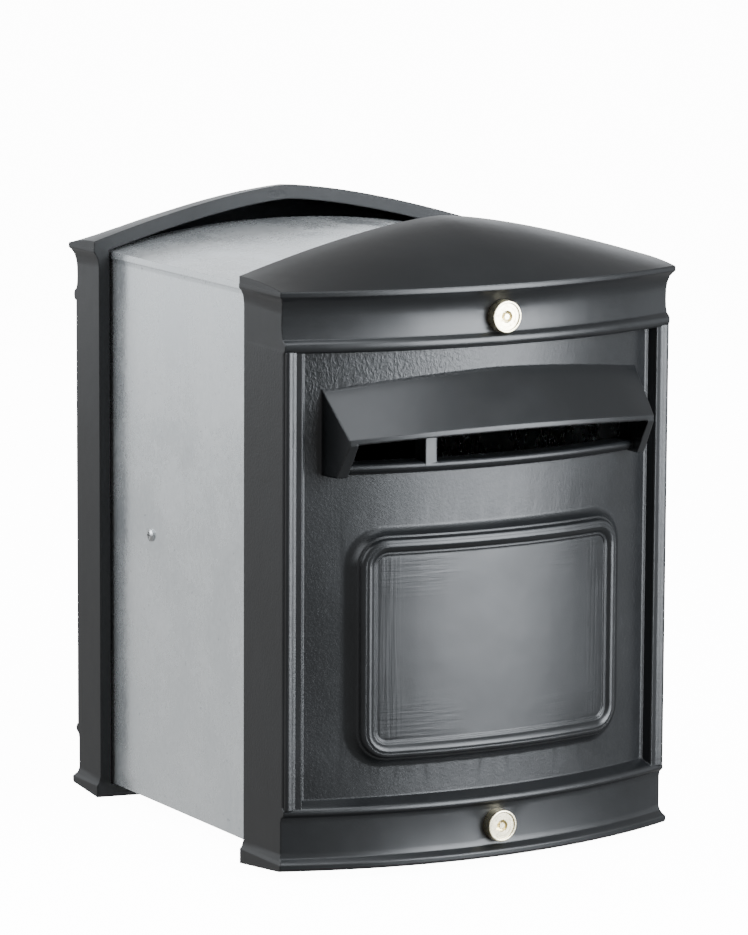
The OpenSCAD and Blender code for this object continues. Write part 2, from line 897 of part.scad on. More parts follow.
module lock_cam_screw() {
    color("#8e9294")
        translate([0, 0, -cam_back - cam_t])
            difference() {
                union() {
                    translate([0, 0, -1.4])
                        cylinder(d = 10.5, h = 1.4);
                    translate([0, 0, -2.6])
                        cylinder(d1 = 7, d2 = 10.5, h = 1.2);
                    translate([0, 0, -1])
                        cylinder(d = 4, h = 10);
                }
                for (a = [0, 90])
                    rotate([0, 0, a])
                        translate([-2.6, -0.5, -4])
                            cube([5.2, 1, 2.6]);
            }
}

module front_top_barrel() { lock_place(true, top_lock_z) lock_barrel(); }
module front_top_nut() { lock_place(true, top_lock_z) lock_nut(); }
module front_top_plug() { lock_place(true, top_lock_z) lock_plug(); }
module front_top_cam() { lock_place(true, top_lock_z) lock_cam(); }
module front_top_cam_screw() { lock_place(true, top_lock_z) lock_cam_screw(); }
module front_low_barrel() { lock_place(true, bottom_lock_z) lock_barrel(); }
module front_low_nut() { lock_place(true, bottom_lock_z) lock_nut(); }
module front_low_plug() { lock_place(true, bottom_lock_z) lock_plug(); }
module front_low_cam() { lock_place(true, bottom_lock_z) lock_cam(); }
module front_low_cam_screw() { lock_place(true, bottom_lock_z) lock_cam_screw(); }
module rear_top_barrel() { lock_place(false, top_lock_z) lock_barrel(); }
module rear_top_nut() { lock_place(false, top_lock_z) lock_nut(); }
module rear_top_plug() { lock_place(false, top_lock_z) lock_plug(); }
module rear_top_cam() { lock_place(false, top_lock_z) lock_cam(); }
module rear_top_cam_screw() { lock_place(false, top_lock_z) lock_cam_screw(); }
module rear_low_barrel() { lock_place(false, bottom_lock_z) lock_barrel(); }
module rear_low_nut() { lock_place(false, bottom_lock_z) lock_nut(); }
module rear_low_plug() { lock_place(false, bottom_lock_z) lock_plug(); }
module rear_low_cam() { lock_place(false, bottom_lock_z) lock_cam(); }
module rear_low_cam_screw() { lock_place(false, bottom_lock_z) lock_cam_screw(); }

front_cover();
rear_cover();
outer_sleeve();
outer_lid();
inner_sleeve();
inner_lid();
clamp_screws();
clamp_nut_left();
clamp_nut_right();
front_keeper_top();
front_keeper_bottom();
rear_keeper_top();
rear_keeper_bottom();
front_rivets();
rear_rivets();
front_top_barrel();
front_top_nut();
front_top_plug();
front_top_cam();
front_top_cam_screw();
front_low_barrel();
front_low_nut();
front_low_plug();
front_low_cam();
front_low_cam_screw();
rear_top_barrel();
rear_top_nut();
rear_top_plug();
rear_top_cam();
rear_top_cam_screw();
rear_low_barrel();
rear_low_nut();
rear_low_plug();
rear_low_cam();
rear_low_cam_screw();
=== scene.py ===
"""Looks of the telescopic post box: painted castings, galvanised sleeve, brass locks.

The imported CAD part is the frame. Castings, locks and rivets are rebuilt from it with
smooth shading and round edges; the sheet and the fixings keep their CAD mesh.
"""

import logging
import math
from dataclasses import dataclass
from enum import Enum
from functools import partial
from itertools import product
from typing import Any, Callable, Iterable, Sequence

import bmesh
import bpy
from mathutils import Euler, Matrix, Vector


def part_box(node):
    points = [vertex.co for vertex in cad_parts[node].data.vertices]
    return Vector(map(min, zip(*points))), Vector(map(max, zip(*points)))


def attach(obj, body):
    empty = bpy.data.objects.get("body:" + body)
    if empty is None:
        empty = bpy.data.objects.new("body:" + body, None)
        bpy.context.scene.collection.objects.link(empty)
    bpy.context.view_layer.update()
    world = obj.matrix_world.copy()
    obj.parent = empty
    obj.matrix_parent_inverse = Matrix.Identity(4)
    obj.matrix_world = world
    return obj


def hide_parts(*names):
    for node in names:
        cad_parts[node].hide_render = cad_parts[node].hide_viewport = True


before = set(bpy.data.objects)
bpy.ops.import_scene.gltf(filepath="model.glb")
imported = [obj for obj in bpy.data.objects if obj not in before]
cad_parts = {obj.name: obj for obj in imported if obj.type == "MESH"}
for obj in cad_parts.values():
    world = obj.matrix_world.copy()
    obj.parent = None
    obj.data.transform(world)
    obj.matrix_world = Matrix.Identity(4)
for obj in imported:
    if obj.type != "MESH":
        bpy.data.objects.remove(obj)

LOG = logging.getLogger("post_box")
MM = 0.001
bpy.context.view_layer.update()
PHOTO_LONG_SIDE = 935
SENSOR_MM = 36.0
MERGE_WITHIN = 0.002 * MM
RIVET_SHARP_DEG = 40.0

Pair = tuple[float, float]
Triple = tuple[float, float, float]
Shares = tuple[tuple[str, float], ...]
Ring = list[bmesh.types.BMVert]


class Side(Enum):
    """Which casting a piece belongs to, with the sign of Y that it faces."""

    FRONT = -1
    REAR = 1


class Level(Enum):
    """Which lock of a casting: the one in the frieze or the one in the bottom band."""

    TOP = "top"
    LOW = "low"


# ---- shader writing


class Socket:
    """An output socket of a material that takes part in Python arithmetic."""

    def __init__(self, book: "Shader", out: bpy.types.NodeSocket) -> None:
        """Wraps one output socket of the shader under construction."""
        self.book = book
        self.out = out

    def _math(self, operation: str, *values: Any, clamp: bool = False) -> "Socket":
        """Adds one Math node and returns its result."""
        settings = {"operation": operation, "use_clamp": clamp}
        return self.book.node("ShaderNodeMath", settings, dict(enumerate(values)))

    def __add__(self, other: Any) -> "Socket":
        """Sum of this value and another."""
        return self._math("ADD", self, other)

    __radd__ = __add__

    def __sub__(self, other: Any) -> "Socket":
        """This value less another."""
        return self._math("SUBTRACT", self, other)

    def __rsub__(self, other: Any) -> "Socket":
        """Another value less this one."""
        return self._math("SUBTRACT", other, self)

    def __mul__(self, other: Any) -> "Socket":
        """Product of this value and another."""
        return self._math("MULTIPLY", self, other)

    __rmul__ = __mul__

    def __truediv__(self, other: Any) -> "Socket":
        """This value divided by another."""
        return self._math("DIVIDE", self, other)

    def __pow__(self, power: Any) -> "Socket":
        """This value to a power."""
        return self._math("POWER", self, power)

    def __abs__(self) -> "Socket":
        """Size of this value."""
        return self._math("ABSOLUTE", self)

    def clamp(self) -> "Socket":
        """This value kept between nought and one."""
        return self._math("ADD", self, 0.0, clamp=True)

    def ramp(self, low: float, high: float) -> "Socket":
        """A smooth step from nought at low to one at high.

        Args:
            low: value where the step starts.
            high: value where the step ends; it may be the smaller one.

        Returns:
            The stepped value.
        """
        settings = {"interpolation_type": "SMOOTHSTEP"}
        if low <= high:
            return self.book.node("ShaderNodeMapRange", settings, {0: self, 1: low, 2: high})
        return 1.0 - self.book.node("ShaderNodeMapRange", settings, {0: self, 1: high, 2: low})


class Shader:
    """One material under construction, with a Principled shader at its end."""

    def __init__(self, name: str) -> None:
        """Starts an empty material under a name."""
        self.material = bpy.data.materials.new(name)
        self.material.use_nodes = True
        self.tree = self.material.node_tree
        self.tree.nodes.clear()
        self.bsdf = self.tree.nodes.new("ShaderNodeBsdfPrincipled")
        end = self.tree.nodes.new("ShaderNodeOutputMaterial")
        self.tree.links.new(self.bsdf.outputs["BSDF"], end.inputs["Surface"])

    def node(
        self, kind: str, settings: dict[str, Any], values: dict[Any, Any], output: Any = 0
    ) -> Socket:
        """Adds any node.

        Args:
            kind: the node's type.
            settings: properties of the node, set first.
            values: constants or sockets for its inputs, by index or name.
            output: index or name of the output that is returned.

        Returns:
            The chosen output.
        """
        made = self.tree.nodes.new(kind)
        for key, value in settings.items():
            setattr(made, key, value)
        for key, value in values.items():
            if isinstance(value, Socket):
                self.tree.links.new(value.out, made.inputs[key])
            else:
                made.inputs[key].default_value = value
        return Socket(self, made.outputs[output])

    def place(self) -> Socket:
        """The point in the frame, in metres."""
        return self.node("ShaderNodeTexCoord", {}, {}, "Object")

    def stretched(self, scale: Sequence[float]) -> Socket:
        """The point with each axis scaled, for patterns with a direction."""
        values = {0: self.place(), 1: tuple(scale)}
        return self.node("ShaderNodeVectorMath", {"operation": "MULTIPLY"}, values)

    def axes(self) -> tuple[Socket, Socket, Socket]:
        """The point's X, Y and Z in millimetres."""
        split = self.node("ShaderNodeSeparateXYZ", {}, {0: self.place()})
        outs = split.out.node.outputs
        return tuple(Socket(self, outs[i]) * 1000.0 for i in range(3))

    def noise(
        self, scale: float, detail: float = 3.0, rough: float = 0.5, at: Socket | None = None
    ) -> Socket:
        """Noise between nought and one.

        Args:
            scale: repeats per metre.
            detail: number of octaves.
            rough: strength of each finer octave.
            at: the point that it reads, the plain place if left out.

        Returns:
            The noise value.
        """
        values = {"Vector": at or self.place(), "Scale": scale, "Detail": detail}
        values["Roughness"] = rough
        return self.node("ShaderNodeTexNoise", {}, values, "Fac")

    def mix(self, factor: Any, first: Any, second: Any) -> Socket:
        """A colour between two colours.

        Args:
            factor: nought for the first colour, one for the second.
            first: a colour or a socket.
            second: a colour or a socket.

        Returns:
            The mixed colour.
        """
        made = self.tree.nodes.new("ShaderNodeMix")
        made.data_type = "RGBA"
        for index, value in zip((0, 6, 7), (factor, first, second)):
            if isinstance(value, Socket):
                self.tree.links.new(value.out, made.inputs[index])
            elif index == 0:
                made.inputs[index].default_value = value
            else:
                made.inputs[index].default_value = (*value, 1.0)[:4]
        return Socket(self, made.outputs[2])

    def bump(self, height: Socket, depth: float, normal: Socket | None = None) -> Socket:
        """A normal that follows a height.

        Args:
            height: the height, about nought to one.
            depth: what a height of one stands for, in metres.
            normal: the normal it starts from, the mesh's own if left out.

        Returns:
            The bent normal.
        """
        values = {"Height": height, "Distance": depth, "Strength": 1.0}
        if normal is not None:
            values["Normal"] = normal
        return self.node("ShaderNodeBump", {}, values)

    def finish(self, constants: dict[str, Any], links: dict[str, Socket]) -> bpy.types.Material:
        """Sets the shader's sockets.

        Args:
            constants: plain values by socket name.
            links: sockets by socket name.

        Returns:
            The finished material.
        """
        for key, value in constants.items():
            self.bsdf.inputs[key].default_value = value
        for key, value in links.items():
            self.tree.links.new(value.out, self.bsdf.inputs[key])
        return self.material


@dataclass(frozen=True)
class Pattern:
    """One noise pattern of a finish.

    The scale is in repeats per metre, detail counts the octaves, rough is the strength
    of each finer one, and stretch scales the axes of a pattern that has a direction.
    """

    scale: float
    detail: float = 3.0
    rough: float = 0.5
    stretch: Triple | None = None

    def on(self, s: Shader) -> Socket:
        """The pattern's value over a material, nought to one."""
        at = s.stretched(self.stretch) if self.stretch else None
        return s.noise(self.scale, self.detail, self.rough, at)


def blend(parts: dict[str, Socket], shares: Shares, start: float = 0.0) -> Socket:
    """Sum of named values, each times its share, and a start value."""
    return sum((parts[name] * share for name, share in shares), start)


@dataclass(frozen=True)
class CastPaint:
    """Satin black paint over a sand casting: grain, ridges, file marks and soft edges.

    Places are in mm. A pair named after an axis, or ending in "_in", "_step", holds the
    two ends of a smooth step. Heights are shares of the relief.
    """

    name: str = "cast_paint"

    # Colour and gloss
    dark: Triple = (0.0058, 0.0064, 0.0070)
    worn: Triple = (0.036, 0.038, 0.041)
    patches: Pattern = Pattern(14.0)
    patch_step: Pair = (0.35, 0.75)
    patch_light: float = 1.7
    patch_share: float = 0.35
    patch_dull: float = 0.06
    specks: Pattern = Pattern(620.0, 2.0)
    speck_step: Pair = (0.72, 0.80)
    speck_share: float = 0.30
    gloss: float = 0.29
    sandy_dull: float = 0.02
    rim_dull: float = 0.30
    mottle: Pattern = Pattern(150.0, 2.0)
    mottle_dull: float = 0.05

    # Relief
    edge_round: float = 1.6 * MM
    relief: float = 0.42 * MM
    peel: Pattern = Pattern(1100.0, 2.0)
    peel_height: float = 0.03
    wave: Pattern = Pattern(26.0, 2.0)
    wave_height: float = 0.75
    grain: Pattern = Pattern(520.0, 4.0, 0.62)
    grain_height: float = 0.04
    grain_on: Shares = (("sandy", 0.20), ("ends", 0.14), ("strips", 0.30))
    ridges: Pattern = Pattern(450.0, 3.0, 0.62, (1.0, 1.0, 0.66))
    ridge_step: Pair = (0.36, 0.70)
    ridges_on: Shares = (("sandy", 0.03), ("corner", 0.28), ("ends", 0.06))
    upright_marks: Pattern = Pattern(430.0, 2.0, 0.5, (1.0, 1.0, 0.04))
    level_marks: Pattern = Pattern(430.0, 2.0, 0.5, (0.07, 0.07, 1.0))
    mark_height: float = 0.42
    pit: Pattern = Pattern(420.0, 2.0)
    pit_height: float = 1.1

    # Places
    soft: float = 3.0
    front_y: Pair = (0.0, -5.0)
    rear_y: Pair = (0.0, 5.0)
    rim_in: Pair = (1.0, 0.3)
    field_half: Pair = (92.5, 65.5)
    field_mid: float = 161.0
    upright_in: Pair = (22.0, 10.0)
    level_in: Pair = (38.0, 14.0)
    level_x: Pair = (18.0, 60.0)
    right_x: Pair = (-20.0, 40.0)
    right_less: float = 0.45
    panel_x: Pair = (142.0, 138.0)
    panel_z: Pair = (53.0, 372.0)
    panel_reach: Pair = (389.45, 388.25)
    bow_depth: float = 89.0
    bow_r: float = 396.25
    corner_x: Pair = (25.0, -60.0)
    corner_z: Pair = (300.0, 350.0)
    ends_x: Pair = (108.0, 130.0)
    strips_x: Pair = (143.0, 145.0)
    pit_at: Pair = (-9.0, 443.5)
    pit_half: Pair = (9.0, 3.4)
    pit_step: Pair = (1.0, 0.2)
    pit_y: Pair = (100.0, 105.0)

    def field(self, x: Socket, z: Socket, front: Socket) -> tuple[Socket, Socket, Socket]:
        """Where the smooth field is, and its file marks.

        Args:
            x: the point's X in millimetres.
            z: the point's Z in millimetres.
            front: mask of the front casting.

        Returns:
            Masks of the whole field, of its upright marks and of its level marks.
        """
        across, up = self.field_half
        high = z - self.field_mid
        inside = abs(x).ramp(across, across - self.soft) * abs(high).ramp(up, up - self.soft)
        inside = inside * front
        upright = inside * abs(x).ramp(*(across - inset for inset in self.upright_in))
        level = inside * abs(high).ramp(*(up - inset for inset in self.level_in))
        level = level * abs(x).ramp(*self.level_x)
        level = level * (1.0 - x.ramp(*self.right_x) * self.right_less)
        return inside, upright, level

    def masks(self, s: Shader) -> dict[str, Socket]:
        """Where each kind of surface is.

        Args:
            s: the material under construction.

        Returns:
            Masks by name: the sandy panel, its ridged top left corner and its two ends,
            the strips beside it, the wall rims, the file marks and the pit.
        """
        x, y, z = s.axes()
        front = y.ramp(*self.front_y)
        inside, upright, level = self.field(x, z, front)
        low, high = self.panel_z
        band = z.ramp(low, low + self.soft) * z.ramp(high, high - self.soft) * front
        front_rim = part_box("front_cover")[1][1] / MM
        rear_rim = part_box("rear_cover")[0][1] / MM
        from_axis = y - (front_rim - self.bow_depth + self.bow_r)
        reach = (x**2.0 + from_axis**2.0) ** 0.5
        panel = band * abs(x).ramp(*self.panel_x) * reach.ramp(*self.panel_reach)
        sandy = (panel - inside).clamp()
        front_edge = y.ramp(*(front_rim - inset for inset in self.rim_in)) * front
        rear_edge = y.ramp(*(rear_rim + inset for inset in self.rim_in)) * y.ramp(*self.rear_y)
        off_x = (x - self.pit_at[0]) / self.pit_half[0]
        off_z = (z - self.pit_at[1]) / self.pit_half[1]
        return {
            "sandy": sandy,
            "corner": sandy * z.ramp(*self.corner_z) * x.ramp(*self.corner_x),
            "ends": sandy * abs(x).ramp(*self.ends_x),
            "strips": band * abs(x).ramp(*self.strips_x),
            "rims": front_edge + rear_edge,
            "upright": upright,
            "level": level,
            "pit": (off_x**2.0 + off_z**2.0).ramp(*self.pit_step) * y.ramp(*self.pit_y),
        }

    def height(self, s: Shader, masks: dict[str, Socket]) -> Socket:
        """The cast surface's height.

        Args:
            s: the material under construction.
            masks: where each kind of surface is.

        Returns:
            The height, in shares of the relief.
        """
        ridges = self.ridges.on(s).ramp(*self.ridge_step)
        return (
            self.peel.on(s) * self.peel_height
            + self.grain.on(s) * blend(masks, self.grain_on, self.grain_height)
            + ridges * blend(masks, self.ridges_on)
            + self.upright_marks.on(s) * masks["upright"] * self.mark_height
            + self.level_marks.on(s) * masks["level"] * self.mark_height
            + self.wave.on(s) * self.wave_height
            - masks["pit"] * self.pit.on(s) * self.pit_height
        )

    def build(self) -> bpy.types.Material:
        """Makes the material: sandy panel with ridges, smooth field, fine peel everywhere."""
        s = Shader(self.name)
        masks = self.masks(s)
        patches = self.patches.on(s).ramp(*self.patch_step)
        lighter = tuple(self.patch_light * c for c in self.dark)
        paint = s.mix(patches * self.patch_share, self.dark, lighter)
        specks = self.specks.on(s).ramp(*self.speck_step)
        rough = self.gloss + patches * self.patch_dull + masks["sandy"] * self.sandy_dull
        rough = rough + self.mottle.on(s) * self.mottle_dull + masks["rims"] * self.rim_dull
        round_edge = s.node("ShaderNodeBevel", {"samples": 6}, {"Radius": self.edge_round})
        links = {
            "Base Color": s.mix(specks * self.speck_share, paint, self.worn),
            "Roughness": rough,
            "Normal": s.bump(self.height(s, masks), self.relief, round_edge),
        }
        return s.finish({"Specular IOR Level": 0.5, "IOR": 1.5}, links)


@dataclass(frozen=True)
class Galvanised:
    """Hot-dip galvanised sheet: frosty spangle, upright grain and clearer bluish clouds.

    Pairs ending in "_step" are the two ends of a smooth step.
    """

    name: str = "galvanised_sheet"
    metallic: float = 0.82

    # Colours, and how much of the later ones is laid over the first two
    base: Triple = (0.79, 0.825, 0.835)
    pale: Triple = (0.93, 0.955, 0.96)
    blue: Triple = (0.50, 0.57, 0.64)
    blue_share: float = 0.16
    spot: Triple = (0.30, 0.32, 0.34)
    spot_share: float = 0.45
    # Painted shade under the flange, flecked with grime specks: its colour, its share and what
    # flecks it
    shade_and_grime: Triple = (0.24, 0.26, 0.27)
    shade_and_grime_share: float = 0.26
    shade_and_grime_by: Shares = (("frost", 0.10), ("spots", 0.5))
    pale_by: Shares = (("crystal", 0.35), ("frost", 0.40), ("streak", 0.35))

    # Patterns
    crystal: float = 420.0
    crystal_stretch: Triple = (1.0, 1.0, 0.6)
    frost: Pattern = Pattern(1300.0, 3.0, 0.7, (1.0, 1.0, 0.3))
    cloud: Pattern = Pattern(34.0, 3.0, 0.52, (1.0, 0.5, 0.5))
    cloud_step: Pair = (0.32, 0.76)
    streak: Pattern = Pattern(110.0, 3.0, 0.6, (1.0, 1.0, 0.06))
    spots: Pattern = Pattern(300.0, 1.0)
    spot_step: Pair = (0.73, 0.80)
    swell: Pattern = Pattern(9.0, 1.0)

    # Gloss and relief
    rough: float = 0.25
    rough_by: Shares = (("cloud", -0.10), ("crystal", 0.05), ("frost", 0.06))
    height_by: Shares = (("frost", 0.5), ("crystal", 0.3), ("streak", 0.3), ("swell", 1.5))
    edge_round: float = 1.2 * MM
    relief: float = 0.05 * MM

    # Painted shade under the lid's flange, a darker band with grime specks in it; places in mm
    flange_shade_z: float = 401.7
    flange_shade_step: Pair = (2.6, 0.7)

    def build(self) -> bpy.types.Material:
        """Makes the material: crystal cells, streaks, spots, clouds, and painted shade with
        grime specks under the flange.
        """
        s = Shader(self.name)
        cell = s.node(
            "ShaderNodeTexVoronoi",
            {"feature": "F1"},
            {"Vector": s.stretched(self.crystal_stretch), "Scale": self.crystal},
            "Color",
        )
        parts = {
            "crystal": s.node("ShaderNodeSeparateColor", {}, {0: cell}, "Red"),
            "frost": self.frost.on(s),
            "streak": self.streak.on(s),
            "cloud": self.cloud.on(s).ramp(*self.cloud_step),
            "spots": self.spots.on(s).ramp(*self.spot_step),
            "swell": self.swell.on(s),
        }
        _, _, z = s.axes()
        flange_shade = abs(z - self.flange_shade_z).ramp(*self.flange_shade_step)
        colour = s.mix(blend(parts, self.pale_by).clamp(), self.base, self.pale)
        colour = s.mix(parts["cloud"] * self.blue_share, colour, self.blue)
        colour = s.mix(parts["spots"] * self.spot_share, colour, self.spot)
        # Painted shade: the band under the flange is darkened, with the spots as grime specks in
        # it
        colour = s.mix(flange_shade * blend(parts, self.shade_and_grime_by, self.shade_and_grime_share), colour, self.shade_and_grime)
        round_edge = s.node("ShaderNodeBevel", {"samples": 4}, {"Radius": self.edge_round})
        links = {
            "Base Color": colour,
            "Roughness": blend(parts, self.rough_by, self.rough),
            "Normal": s.bump(blend(parts, self.height_by), self.relief, round_edge),
        }
        return s.finish({"Metallic": self.metallic}, links)


@dataclass(frozen=True)
class Metal:
    """A plain turned or plated metal with fine wear."""

    name: str
    colour: Triple
    dull: Triple
    gloss: float
    patches: Pattern = Pattern(420.0, 4.0, 0.6)
    patch_step: Pair = (0.45, 0.78)
    patch_share: float = 0.42
    patch_dull: float = 0.16
    hair: Pattern = Pattern(2600.0, 2.0)
    hair_dull: float = 0.05
    relief: float = 0.02 * MM

    def build(self) -> bpy.types.Material:
        """Makes the material: dull patches and hairline grain."""
        s = Shader(self.name)
        patches = self.patches.on(s).ramp(*self.patch_step)
        hair = self.hair.on(s)
        links = {
            "Base Color": s.mix(patches * self.patch_share, self.colour, self.dull),
            "Roughness": self.gloss + patches * self.patch_dull + hair * self.hair_dull,
            "Normal": s.bump(hair, self.relief),
        }
        return s.finish({"Metallic": 1.0}, links)


@dataclass(frozen=True)
class Paper:
    """The pale floor of the studio, bright enough to read as a white cut-out."""

    name: str = "studio_floor"
    shade: float = 0.90
    glow: float = 13.0
    rough: float = 0.9

    def build(self) -> bpy.types.Material:
        """Makes the plain matt material."""
        s = Shader(self.name)
        colour = (self.shade, self.shade, self.shade, 1.0)
        glow = {"Emission Color": (1, 1, 1, 1), "Emission Strength": self.glow}
        return s.finish({"Base Color": colour, "Roughness": self.rough, **glow}, {})


class Palette:
    """All finishes, built once."""

    def __init__(self) -> None:
        """Builds the materials that the classes below share."""
        self.cast = CastPaint().build()
        self.sheet = Galvanised().build()
        self.brass = Metal("turned_brass", (0.95, 0.87, 0.62), (0.80, 0.69, 0.46), 0.25).build()
        self.zinc = Metal("plated_steel", (0.62, 0.63, 0.63), (0.42, 0.43, 0.42), 0.30).build()
        self.alloy = Metal("plain_alloy", (0.70, 0.71, 0.72), (0.50, 0.51, 0.52), 0.32).build()
        self.floor = Paper().build()


# ---- mesh helpers


def placed(name: str, data: Any) -> bpy.types.Object:
    """Puts a new object in the scene, with a mesh, camera or light as its data."""
    made = bpy.data.objects.new(name, data)
    bpy.context.scene.collection.objects.link(made)
    return made


def link(mesh: bpy.types.Mesh, name: str, material: bpy.types.Material) -> bpy.types.Object:
    """Puts a mesh in the scene under a name and gives it one material.

    Args:
        mesh: the mesh.
        name: name of the object.
        material: its finish.

    Returns:
        The object.
    """
    mesh.materials.clear()
    mesh.materials.append(material)
    return placed(name, mesh)


def shade(mesh: bpy.types.Mesh, angle_deg: float) -> None:
    """Smooths a mesh except at edges sharper than an angle.

    Args:
        mesh: the mesh.
        angle_deg: the angle in degrees.
    """
    mesh.polygons.foreach_set("use_smooth", [True] * len(mesh.polygons))
    mesh.set_sharp_from_angle(angle=math.radians(angle_deg))
    mesh.update()


def merged_copy(
    node: str, name: str, material: bpy.types.Material, angle_deg: float
) -> bpy.types.Object:
    """A joined-up, smoothly shaded copy of a CAD node.

    Args:
        node: the CAD node.
        name: name of the new piece.
        material: its finish.
        angle_deg: edges sharper than this stay sharp.

    Returns:
        The new object, at the origin.
    """
    bm = bmesh.new()
    bm.from_mesh(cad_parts[node].data)
    for layer in (bm.loops.layers.uv, bm.loops.layers.float_vector):
        while len(layer):
            layer.remove(layer[0])
    bmesh.ops.remove_doubles(bm, verts=bm.verts, dist=MERGE_WITHIN)
    mesh = bpy.data.meshes.new(name)
    bm.to_mesh(mesh)
    bm.free()
    attribute = mesh.attributes.get("custom_normal")
    if attribute is not None:
        mesh.attributes.remove(attribute)
    shade(mesh, angle_deg)
    made = link(mesh, name, material)
    weights = made.modifiers.new("weights", "WEIGHTED_NORMAL")
    weights.mode = "FACE_AREA"
    weights.keep_sharp = True
    return made


@dataclass
class Turned:
    """A solid of revolution about an axis, from a profile of (radius, height) in mm."""

    profile: Sequence[Pair]
    steps: int = 72

    def fill(self, bm: bmesh.types.BMesh, place: Matrix) -> None:
        """Adds the solid to a mesh.

        Args:
            bm: the mesh under construction.
            place: where the axis stands; the profile's height runs along its Z.
        """
        rings = []
        for radius, height in self.profile:
            if radius == 0:
                rings.append([bm.verts.new(place @ Vector((0, 0, height * MM)))])
                continue
            ring = []
            for k in range(self.steps):
                a = 2 * math.pi * k / self.steps
                point = Vector((radius * math.cos(a), radius * math.sin(a), height)) * MM
                ring.append(bm.verts.new(place @ point))
            rings.append(ring)
        closed = self.profile[0][0] > 0 and self.profile[-1][0] > 0
        pairs = list(zip(rings, rings[1:] + rings[:1]))
        for low, high in pairs if closed else pairs[:-1]:
            self._band(bm, low, high)

    def _band(self, bm: bmesh.types.BMesh, low: Ring, high: Ring) -> None:
        """Joins two neighbouring rings, either of which may be a single point.

        Args:
            bm: the mesh under construction.
            low: the lower ring.
            high: the next ring.
        """
        for k in range(self.steps):
            n = (k + 1) % self.steps
            corners = [low[k % len(low)], low[n % len(low)], high[n % len(high)]]
            corners.append(high[k % len(high)])
            unique = list(dict.fromkeys(corners))
            if len(unique) > 2:
                bm.faces.new(unique)


def new_piece(
    name: str,
    material: bpy.types.Material,
    angle_deg: float,
    fill: Callable[[bmesh.types.BMesh], None],
) -> bpy.types.Object:
    """Builds one piece with a bmesh.

    Args:
        name: name of the piece.
        material: its finish.
        angle_deg: edges sharper than this stay sharp.
        fill: adds the faces.

    Returns:
        The new object, with normals outwards.
    """
    bm = bmesh.new()
    fill(bm)
    bmesh.ops.recalc_face_normals(bm, faces=bm.faces)
    mesh = bpy.data.meshes.new(name)
    bm.to_mesh(mesh)
    bm.free()
    shade(mesh, angle_deg)
    return link(mesh, name, material)


def cut(
    piece: bpy.types.Object, corners: Sequence[Vector], angle_deg: float
) -> bpy.types.Object:
    """Cuts a box out of a piece.

    Args:
        piece: the piece; its mesh is replaced.
        corners: the box's corners, counted with the last axis fastest.
        angle_deg: edges sharper than this stay sharp.

    Returns:
        The same piece.
    """
    faces = [(0, 1, 3, 2), (4, 6, 7, 5), (0, 4, 5, 1), (2, 3, 7, 6), (0, 2, 6, 4), (1, 5, 7, 3)]
    box = bpy.data.meshes.new("cutter")
    box.from_pydata([tuple(c) for c in corners], [], faces)
    bm = bmesh.new()
    bm.from_mesh(box)
    bmesh.ops.recalc_face_normals(bm, faces=bm.faces)
    bm.to_mesh(box)
    bm.free()
    cutter = placed("cutter", box)
    modifier = piece.modifiers.new("cut", "BOOLEAN")
    modifier.object, modifier.operation, modifier.solver = cutter, "DIFFERENCE", "EXACT"
    graph = bpy.context.evaluated_depsgraph_get()
    mesh = bpy.data.meshes.new_from_object(piece.evaluated_get(graph), depsgraph=graph)
    piece.modifiers.clear()
    bpy.data.objects.remove(cutter)
    shade(mesh, angle_deg)
    piece.data = mesh
    return piece


def report(piece: bpy.types.Object) -> None:
    """Logs a finished piece with its number of triangles."""
    count = sum(len(p.vertices) - 2 for p in piece.data.polygons)
    LOG.info("%s: %d triangles", piece.name, count)


# ---- sub-assemblies


@dataclass
class Casting:
    """One bowed casting, front or rear."""

    side: Side
    palette: Palette
    sharp_deg: float = 30.0

    @property
    def word(self) -> str:
        """The casting's word in node names."""
        return self.side.name.lower()

    def build(self) -> bpy.types.Object:
        """Makes the painted skin that stands for the CAD casting and rides on its body."""
        node = f"{self.word}_cover"
        skin = merged_copy(node, f"{self.word}_casting_skin", self.palette.cast, self.sharp_deg)
        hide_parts(node)
        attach(skin, f"{self.word}_casting")
        report(skin)
        return skin


